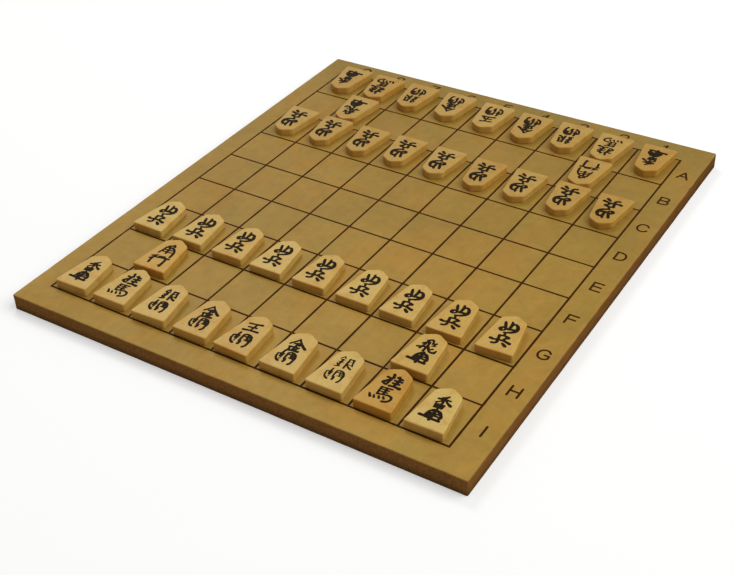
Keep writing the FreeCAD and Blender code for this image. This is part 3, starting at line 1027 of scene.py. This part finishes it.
def stroke_depth(x, y, path, radius):
    """How deep each place lies inside a stroke: at most, over its short straight stretches, the
    brush radius there less the distance to the stretch. It is negative outside."""
    a = path[:-1, None, None, :]
    step = path[1:, None, None, :] - a
    at_x = x[None] - a[..., 0]
    at_y = y[None] - a[..., 1]
    span = np.maximum((step ** 2).sum(-1), 1e-14)
    share = np.clip((at_x * step[..., 0] + at_y * step[..., 1]) / span, 0, 1)
    gap = np.hypot(at_x - share * step[..., 0], at_y - share * step[..., 1])
    reach = radius[:-1, None, None] * (1 - share) + radius[1:, None, None] * share
    return (reach - gap).max(0)


def sign_depth(x, y, strokes, middle, size, pen):
    """The depth inside a whole sign: its strokes joined by a soft maximum, so that they run into
    each other with small fillets, as wet lacquer does."""
    pool = 0.05 * MM
    total = np.full(x.shape, -np.inf)
    for stroke in strokes:
        drawn = stroke_points([(*p, 1.0) if len(p) == 2 else p for p in stroke])
        path = np.stack([middle[0] + (drawn[:, 0] / 100 - 0.5) * size[0],
                         middle[1] + (0.5 - drawn[:, 1] / 100) * size[1]], axis=1)
        total = np.logaddexp(total, stroke_depth(x, y, path, pen * drawn[:, 2]) / pool)
    return total * pool


def film_surface(x, y, depth, base, rise, reach):
    """A film over a square grid where depth is above 0. Points on its outline slide down the slope
    of depth onto the line where it is 0, and the film thickens inwards by its shoulder."""
    cell = x[0, 1] - x[0, 0]
    middle = (depth[:-1, :-1] + depth[1:, :-1] + depth[:-1, 1:] + depth[1:, 1:]) / 4
    used = middle > 0
    bridge = used[:-1, :-1] & used[1:, 1:] & ~used[:-1, 1:] & ~used[1:, :-1]
    used[:-1, 1:] |= bridge
    bridge = used[:-1, 1:] & used[1:, :-1] & ~used[:-1, :-1] & ~used[1:, 1:]
    used[:-1, :-1] |= bridge
    count = cells_round(used)
    edge = (count > 0) & (count < 4)
    slope_y, slope_x = np.gradient(depth, cell)
    steep = np.maximum(slope_x ** 2 + slope_y ** 2, 0.25)
    move = np.where(edge, -depth / steep, 0)
    longest = 0.72 * cell
    move = np.clip(move * np.sqrt(steep), -longest, longest) / np.sqrt(steep)
    moved_x = x + move * slope_x
    moved_y = y + move * slope_y
    thickness = rise * np.maximum(shoulder(depth, reach), 0.25)
    return film_shell(used, moved_x, moved_y, base(moved_x, moved_y), thickness)


def plate(half_width, half_height, middle, cell):
    """A square grid that covers a box round the middle, as x and y."""
    across = np.arange(-half_width, half_width + cell, cell) + middle[0]
    up = np.arange(-half_height, half_height + cell, cell) + middle[1]
    return np.meshgrid(across, up)


def margin_surface(letters, middles, stroke, settings):
    """Margin marks as films on the board, one grid round each mark."""
    pen = stroke / 2
    size = (settings.mark_width - 2 * pen, settings.mark_height - 2 * pen)
    cell = 0.16 * MM
    points, faces, count = [], [], 0
    for letter, middle in zip(letters, middles):
        x, y = plate(settings.mark_width * 0.65, settings.mark_height * 0.65, middle, cell)
        depth = sign_depth(x, y, MARKS[letter], middle, size, pen)
        depth = depth + 0.03 * MM * uneven(x, y, 0.7 * MM, seed=41)
        made, quads = film_surface(x, y, depth, board_height, settings.film, 0.25 * MM)
        points.append(made)
        faces.append(quads + count)
        count += len(made)
    return print_turned(np.concatenate(points)), np.concatenate(faces)


def boxed(strokes):
    """The strokes of a sign stretched so that their points just fill a box of 100 by 100."""
    points = np.array([point[:2] for stroke in strokes for point in stroke])
    low, span = points.min(0), np.ptp(points, axis=0)
    return [[(100 * (x - low[0]) / span[0], 100 * (y - low[1]) / span[1], press)
             for x, y, press in stroke] for stroke in strokes]


def name_depth(signs, pen, cell):
    """The depth inside a whole name, on a grid round the middle of a piece that lies with its head
    towards +Y. A sign of many strokes is written with a finer brush."""
    x, y = plate(8.4 * MM, 13.6 * MM, (0, 0), cell)
    depth = np.full(x.shape, -1.0)
    for sign, left, top, right, bottom in signs:
        middle = ((left + right) / 2 * MM, (top + bottom) / 2 * MM)
        size = ((right - left) * MM, (top - bottom) * MM)
        crowd = pen * (1 - 0.035 * max(len(SIGNS[sign]) - 5, 0))
        depth = np.maximum(depth, sign_depth(x, y, boxed(SIGNS[sign]), middle, size, crowd))
    return x, y, depth


# ---------------------------------------------------------------------------------------------
# The pieces
# ---------------------------------------------------------------------------------------------

# How warm the wood of a piece is, from 0, pale cream, to 1, orange brown. The rest are drawn, and
# the far player's are drawn warmer and darker, as painted shade for light falling off towards the far
# side.
FAR_TONE_SHADE = 0.18
TONES = {
    "knight_2i": 0.74, "bishop_8h": 0.60, "lance_1i": 0.06, "silver_3i": 0.16, "lance_9i": 0.14,
    "knight_2a": 0.40, "lance_1a": 0.66, "knight_8a": 0.60, "pawn_6g": 0.12, "pawn_9g": 0.10,
}
# How far painted shade darkens the lettered faces of the near and the far player's pieces, from 0
# to 1, for light falling off towards the far side, and that of a piece that differs
FACE_SHADE_NEAR, FACE_SHADE_FAR = 0.1, 0.5
FACE_SHADE = {"bishop_8h": 0.0}
# How much thicker than usual the names of a piece were brushed. The rest are drawn, and the far
# player's are thicker by FAR_INK.
FAR_INK = 0.07 * MM
INK_SPREAD = {
    "silver_3i": -0.20 * MM, "knight_2a": -0.10 * MM, "bishop_2b": -0.08 * MM,
    "lance_9a": 0.12 * MM, "lance_1a": 0.08 * MM, "rook_8b": 0.08 * MM, "knight_8a": 0.06 * MM,
}


def mesh_values(sequence, field, width=1):
    """One field of a mesh's points or faces, as rows of so many numbers."""
    values = np.empty(len(sequence) * width, np.float32)
    sequence.foreach_get(field, values)
    return values.reshape(-1, width).astype(float)


def piece_place(node):
    """Where a wedge lies, read from its solid: its kind, middle, turn, width, length and heights.

    The long sides outweigh the ends, so the doubled angles of the upright faces' directions, weighed
    by area, add up to twice the angle that the sides face. The tail is where the solid is tallest."""
    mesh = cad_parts[node].data
    points = mesh_values(mesh.vertices, "co", 3)
    normals = mesh_values(mesh.polygons, "normal", 3)
    areas = mesh_values(mesh.polygons, "area")[:, 0]
    upright = np.abs(normals[:, 2]) < 0.2
    facing = normals[upright, 0] + 1j * normals[upright, 1]
    turn = np.angle((areas[upright] * facing ** 2).sum()) / 2
    for half_turn in (0, np.pi):
        angle = turn + half_turn
        side = np.array([np.cos(angle), np.sin(angle)])
        head = np.array([-side[1], side[0]])
        u = points[:, :2] @ side
        v = points[:, :2] @ head
        if v[points[:, 2].argmax()] < (v.min() + v.max()) / 2:
            break
    middle = side * (u.min() + u.max()) / 2 + head * (v.min() + v.max()) / 2
    foot = points[:, 2].min()
    near_head = v > v.max() - 3.0 * MM
    return {
        "node": node, "kind": node.split("_")[0], "far": node[-1] in "abc",
        "middle": middle, "side": side, "head": head,
        "width": u.max() - u.min(), "length": v.max() - v.min(), "foot": foot,
        "tail_height": points[:, 2].max() - foot,
        "head_height": points[near_head, 2].max() - foot,
    }


def to_board(place, local):
    """Carries points of a piece's own frame, X to its side and Y to its head, onto the board."""
    flat = place["middle"] + local[:, :1] * place["side"] + local[:, 1:2] * place["head"]
    return np.column_stack([flat, place["foot"] + local[:, 2]])


def face_height(place, crown):
    """The height of a piece's lettered face: a slope from the tail down to the head, plus a low
    crown that falls to nothing at the edges."""
    def height(x, y):
        along = y / place["length"] + 0.5
        slope = place["tail_height"] + (place["head_height"] - place["tail_height"]) * along
        swell = (1 - (x / (place["width"] / 2)) ** 2) * (1 - (y / (place["length"] / 2)) ** 2)
        return slope + crown * (np.clip(swell, 0, 1) - 0.5)
    return height


def wedge_corners(place, settings, blunted=0.0):
    """The five corners of a piece's outline, before they are rounded, from the tail's left corner
    round to the left shoulder. The tip stands out by what its rounding takes off."""
    width, length = place["width"], place["length"]
    side_run = 1 / math.tan(settings.base_angle)
    head_run = math.tan(settings.head_angle / 2)
    shoulder_up = (length * head_run - width / 2) / (head_run - side_run)
    shoulder_out = (length - shoulder_up) * head_run
    tail = -length / 2
    return [(-width / 2, tail), (width / 2, tail), (shoulder_out, tail + shoulder_up),
            (0, length / 2 + blunted), (-shoulder_out, tail + shoulder_up)]


def under_height(place, settings):
    """The height of a piece's underside: eased away in the middle, and down to nothing at the
    outline, by the square of how far a place lies from the middle towards its nearest side."""
    corners = np.array(wedge_corners(place, settings))
    along = np.roll(corners, -1, axis=0) - corners
    out = np.stack([along[:, 1], -along[:, 0]], axis=1)
    reach = (out * corners).sum(1)

    def height(x, y):
        share = ((x[..., None] * out[:, 0] + y[..., None] * out[:, 1]) / reach).max(-1)
        return settings.hollow * (1 - np.clip(share, 0, 1) ** 2)
    return height


def wedge_surface(place, settings, seed):
    """One piece: rounded five-sided outlines stacked from the foot edge to the top edge and drawn in
    to a pole below and above. Each corner is worn to its own radius, and the sides waver a little.
    The upper rings follow the slope and crown of the lettered face."""
    draw = np.random.default_rng(seed)
    arc_steps, side_steps, edge_steps = 6, 7, 6
    tail, head = settings.tail_radius, settings.head_radius
    radii = np.array([tail, tail, head, head, head]) * draw.uniform(0.85, 1.15, 5)
    blunted = radii[3] * (1 / math.sin(settings.head_angle / 2) - 1)
    corners = wedge_corners(place, settings, blunted)
    foot, top = settings.foot_round, settings.top_round * draw.uniform(0.85, 1.2)
    quarter = np.linspace(0, np.pi / 2, edge_steps)
    waist = np.linspace(0, 1, 5)[1:-1]
    insets = np.concatenate([
        foot * (1 - np.sin(quarter)), np.zeros(len(waist)), top * (1 - np.cos(quarter)), [top * 1.2]])
    flat, outward = rounded_outline(corners, radii, insets, arc_steps, side_steps, 0.2 * MM)
    rings, around = flat.shape[:2]
    crown_height = face_height(place, settings.crown)
    ceiling = crown_height(flat[..., 0], flat[..., 1])
    level = np.empty((rings, around))
    level[:edge_steps] = (foot * (1 - np.cos(quarter)))[:, None]
    rise = ceiling[edge_steps:-edge_steps - 1] - top - foot
    level[edge_steps:-edge_steps - 1] = foot + rise * waist[:, None]
    level[-edge_steps - 1:-1] = ceiling[-edge_steps - 1:-1] - (top * (1 - np.sin(quarter)))[:, None]
    level[-1] = ceiling[-1]
    bent = uneven(flat[..., 0] + 5 * flat[..., 1], level * 2 + seed * 0.01, 7 * MM, seed=seed % 60)
    flat = flat + outward * (bent * 0.045 * MM)[..., None]
    shrink_top = np.array([0.93, 0.8, 0.62, 0.42, 0.2])[:, None, None]
    shrink_foot = np.array([0.2, 0.45, 0.7, 0.9])[:, None, None]
    upper = flat[-1] * shrink_top
    lower = flat[0] * shrink_foot
    lower_level = under_height(place, settings)(lower[..., 0], lower[..., 1])
    points = np.concatenate([
        np.dstack([lower, lower_level]), np.dstack([flat, level]),
        np.dstack([upper, crown_height(upper[..., 0], upper[..., 1])])])
    total = len(points)
    poles = [[0, 0, settings.hollow], [0, 0, float(crown_height(0.0, 0.0))]]
    local = np.concatenate([points.reshape(-1, 3), poles])
    ring = np.arange(total * around).reshape(total, around)
    pole = total * around
    faces = np.concatenate([
        ring_faces(total, around), fan_faces(pole, ring[0], False),
        fan_faces(pole + 1, ring[-1], True)])
    below, above = np.zeros(len(lower)), np.zeros(1 + len(upper))
    side = np.concatenate([
        below, np.sin(quarter), np.ones(len(waist)), np.cos(quarter), above])
    rounding = np.concatenate([
        below, np.sin(2 * quarter) * 0.5, np.zeros(len(waist)), np.sin(2 * quarter), above])
    lettered = np.concatenate([
        below, np.zeros(edge_steps + len(waist)), np.sin(quarter), above + 1])
    layers = {
        "end_grain": np.append(np.outer(side, outward[:, 1] ** 2).reshape(-1), [0, 0]),
        "rounded_share": np.append(np.repeat(rounding, around), [0, 0]),
        # The lettered face, where painted shade is laid on
        "face_shade": np.append(np.repeat(lettered, around), [0, 1]),
        "grain": local + draw.uniform(-0.4, 0.4, 3),
    }
    return local, faces, layers


# ---------------------------------------------------------------------------------------------
# The stage
# ---------------------------------------------------------------------------------------------

FLOOR_HALF = 6.0  # from the floor's middle to its sides
KEY_TOWARDS, FILL_TOWARDS = (-0.50, 0.42, 0.80), (0.58, 0.18, 0.80)  # from the middle to the lamps
STANDPOINT = Vector((343.75, -546.38, 437.3)) * MM
AIM = Vector((26.62, -67.40, 10.5)) * MM
ROLL = math.radians(2.478)


def add_floor(scene, settings):
    """A pale square of paper under the board."""
    mesh = bpy.data.meshes.new("floor")
    corners = [(-FLOOR_HALF, -FLOOR_HALF, 0), (FLOOR_HALF, -FLOOR_HALF, 0),
               (FLOOR_HALF, FLOOR_HALF, 0), (-FLOOR_HALF, FLOOR_HALF, 0)]
    mesh.from_pydata(corners, [], [(0, 1, 2, 3)])
    mesh.materials.append(pale_floor(settings))
    floor = bpy.data.objects.new("floor", mesh)
    scene.collection.objects.link(floor)


def add_sky(scene, settings):
    """Even light from all round, which shows as white where the camera sees it."""
    world = bpy.data.worlds.new("studio")
    scene.world = world
    world.use_nodes = True
    tree = world.node_tree
    tree.nodes.clear()
    strength = add_node(
        tree, "ShaderNodeMapRange",
        {"Value": camera_white(tree), "To Min": settings.sky, "To Max": 1.0})
    sky = add_node(
        tree, "ShaderNodeBackground",
        {"Color": (1, 1, 1, 1), "Strength": strength.outputs["Result"]})
    add_node(tree, "ShaderNodeOutputWorld", {"Surface": sky.outputs["Background"]})


def add_lamps(scene, settings):
    """Two square lamps that face the middle of the board."""
    for name, direction, size, power in (
            ("key_lamp", KEY_TOWARDS, settings.key_size, settings.key_power),
            ("fill_lamp", FILL_TOWARDS, settings.fill_size, settings.fill_power)):
        lamp_data = bpy.data.lights.new(name, "AREA")
        lamp_data.shape = "SQUARE"
        lamp_data.size = size
        lamp_data.energy = power
        lamp = bpy.data.objects.new(name, lamp_data)
        towards = Vector(direction).normalized()
        lamp.location = towards * settings.lamp_distance
        lamp.rotation_euler = towards.to_track_quat("Z", "Y").to_euler()
        scene.collection.objects.link(lamp)


def add_camera(scene, settings):
    """The camera at its standpoint, tilted by its roll, and set as the scene's."""
    camera_data = bpy.data.cameras.new("camera")
    camera_data.lens = settings.lens
    camera_data.sensor_width = 36.0
    camera_data.clip_start = 0.01
    camera = bpy.data.objects.new("camera", camera_data)
    facing = (AIM - STANDPOINT).to_track_quat("-Z", "Y").to_matrix()
    tilted = facing @ Matrix.Rotation(-ROLL, 3, "Z")
    camera.matrix_world = Matrix.Translation(STANDPOINT) @ tilted.to_4x4()
    scene.collection.objects.link(camera)
    scene.camera = camera


# ---------------------------------------------------------------------------------------------
# Operators
# ---------------------------------------------------------------------------------------------

class SHOGI_OT_board(bpy.types.Operator):
    """Makes the varnished wooden slab"""
    bl_idname = "shogi.board"
    bl_label = "Board"

    def execute(self, context):
        settings = context.scene.shogi_board
        points, faces, layers = slab_surface(settings)
        piece = new_piece("board_slab", points, faces, "board", "board_wood",
                          varnished_board_wood(settings), layers)
        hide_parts("board")
        return {"FINISHED"}


class SHOGI_OT_lines(bpy.types.Operator):
    """Makes the ruled lines and the four star points"""
    bl_idname = "shogi.lines"
    bl_label = "Ruled lines"

    def execute(self, context):
        settings = context.scene.shogi_lines
        lacquer = brushed_lacquer("line_lacquer", settings.colour, linear("4C2E0A"), 0.42, 0.02)
        lattice = new_piece("ruled_lines", *lattice_surface(settings), "board", "line_lacquer",
                            lacquer)
        new_piece("star_points", *star_surface(settings), "board", "line_lacquer", lacquer)
        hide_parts("grid_lines")
        return {"FINISHED"}


class SHOGI_OT_margin(bpy.types.Operator):
    """Makes the rank letters in the right margin and the file numbers in the far one"""
    bl_idname = "shogi.margin"
    bl_label = "Margin marks"

    def execute(self, context):
        settings = context.scene.shogi_lines
        lacquer = brushed_lacquer("margin_lacquer", settings.colour, linear("4C2E0A"), 0.45, 0.02)
        across = (FILE_LINES[:-1] + FILE_LINES[1:]) / 2
        up = (RANK_LINES[:-1] + RANK_LINES[1:]) / 2
        right = FILE_LINES[-1] + LINE_HALF + settings.mark_offset
        beyond = RANK_LINES[-1] + LINE_HALF + settings.mark_offset + NUMBER_SHIFT[1]
        letters = margin_surface(
            "IHGFEDCBA", list(zip(right + LETTER_LEAN, up + LETTER_RISE)), settings.mark_stroke,
            settings)
        numbers = margin_surface(
            "987654321", [(x + NUMBER_SHIFT[0], beyond) for x in across], settings.number_stroke,
            settings)
        new_piece("rank_letters", *letters, "board", "line_lacquer", lacquer)
        new_piece("file_numbers", *numbers, "board", "line_lacquer", lacquer)
        return {"FINISHED"}


class SHOGI_OT_pieces(bpy.types.Operator):
    """Makes the wood of the forty pieces"""
    bl_idname = "shogi.pieces"
    bl_label = "Pieces"

    def execute(self, context):
        settings = context.scene.shogi_pieces
        wood = polished_piece_wood(settings)
        draw = np.random.default_rng(7)
        for seed, node in enumerate(PIECE_NODES):
            place = piece_place(node)
            local, faces, layers = wedge_surface(place, settings, 100 + seed)
            # The far player's pieces are drawn warmer and darker: painted shade for light falling off
            # towards the far side.
            drawn = draw.uniform(0.18, 0.45) + (FAR_TONE_SHADE if place["far"] else 0.0)
            layers["tone"] = np.full(len(local), TONES.get(node, drawn))
            # Painted shade on the lettered face, for light falling off towards the far side
            layers["face_shade"] *= FACE_SHADE.get(node, FACE_SHADE_FAR if place["far"] else FACE_SHADE_NEAR)
            piece = new_piece(node + "_wood", to_board(place, local), faces, node, "piece_wood",
                              wood, layers)
            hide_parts(node)
        return {"FINISHED"}


class SHOGI_OT_names(bpy.types.Operator):
    """Makes the brushed names on the faces and undersides of the pieces"""
    bl_idname = "shogi.names"
    bl_label = "Names"

    def execute(self, context):
        settings = context.scene.shogi_ink
        wood = context.scene.shogi_pieces
        ink = brushed_lacquer("name_lacquer", settings.name_colour, linear("42300F"), 0.34, 0.02)
        red = brushed_lacquer("promoted_lacquer", settings.promoted_colour, linear("A8452E"), 0.35,
                              0.08)
        fields = {name: name_depth(signs, settings.pen, settings.cell)
                  for name, signs in NAMES.items()}
        under = {name: name_depth(signs, settings.pen, settings.cell)
                 for name, signs in PROMOTED_NAMES.items()}
        draw = np.random.default_rng(17)
        for seed, node in enumerate(PIECE_NODES):
            place = piece_place(node)
            kind = place["kind"]
            name = ("far_king" if place["far"] else "near_king") if kind == "king" else kind
            x, y, depth = fields[name]
            drawn = draw.uniform(-0.05, 0.04) * MM + (FAR_INK if place["far"] else 0.0)
            wetter = INK_SPREAD.get(node, drawn)
            rough = 0.045 * MM * uneven(x, y + seed * 0.01, 0.8 * MM, seed=60 + seed)
            shift = draw.uniform(-0.25, 0.25, 2) * MM
            ceiling = face_height(place, wood.crown)
            points, faces = film_surface(
                x, y, depth + wetter + rough,
                lambda u, v: ceiling(u + shift[0], v + shift[1]), settings.film, 0.3 * MM)
            points[:, :2] += shift
            new_piece(node + "_name", to_board(place, points), faces, node, "piece_wood", ink)
            if kind in under:
                x, y, depth = under[kind]
                under_face = under_height(place, wood)
                points, faces = film_surface(
                    x, y, depth, lambda u, v: -under_face(u, -v), 0.04 * MM, 0.25 * MM)
                turned = points * (1, -1, -1)
                new_piece(node + "_promoted", to_board(place, turned), faces, node,
                          "piece_wood", red)
        return {"FINISHED"}


class SHOGI_OT_stage(bpy.types.Operator):
    """Makes the floor, the lamps and the camera"""
    bl_idname = "shogi.stage"
    bl_label = "Stage"

    def execute(self, context):
        settings = context.scene.shogi_stage
        add_floor(context.scene, settings)
        add_sky(context.scene, settings)
        add_lamps(context.scene, settings)
        add_camera(context.scene, settings)
        context.scene.view_settings.view_transform = "Standard"
        return {"FINISHED"}


class SHOGI_PT_panel(bpy.types.Panel):
    """Lists the pieces that this add-on makes"""
    bl_idname = "SHOGI_PT_panel"
    bl_label = "Shogi Board Set"
    bl_space_type = "VIEW_3D"
    bl_region_type = "UI"
    bl_category = "Shogi"

    def draw(self, context):
        for operator in OPERATORS:
            self.layout.operator(operator.bl_idname)


GROUPS = {
    "shogi_board": BoardSettings,
    "shogi_lines": LineSettings,
    "shogi_pieces": PieceSettings,
    "shogi_ink": InkSettings,
    "shogi_stage": StageSettings,
}
OPERATORS = (SHOGI_OT_board, SHOGI_OT_lines, SHOGI_OT_margin, SHOGI_OT_pieces, SHOGI_OT_names,
             SHOGI_OT_stage)


def register():
    """Makes the settings, the operators and the panel known to Blender."""
    for name, group in GROUPS.items():
        bpy.utils.register_class(group)
        setattr(bpy.types.Scene, name, bpy.props.PointerProperty(type=group))
    for kind in (*OPERATORS, SHOGI_PT_panel):
        bpy.utils.register_class(kind)


def unregister():
    """Takes them away again."""
    for kind in reversed((*OPERATORS, SHOGI_PT_panel)):
        bpy.utils.unregister_class(kind)
    for name, group in GROUPS.items():
        delattr(bpy.types.Scene, name)
        bpy.utils.unregister_class(group)


def main():
    """Makes everything in order."""
    register()
    bpy.ops.shogi.board()
    bpy.ops.shogi.lines()
    bpy.ops.shogi.margin()
    bpy.ops.shogi.pieces()
    bpy.ops.shogi.names()
    bpy.ops.shogi.stage()


if __name__ == "__main__":
    main()
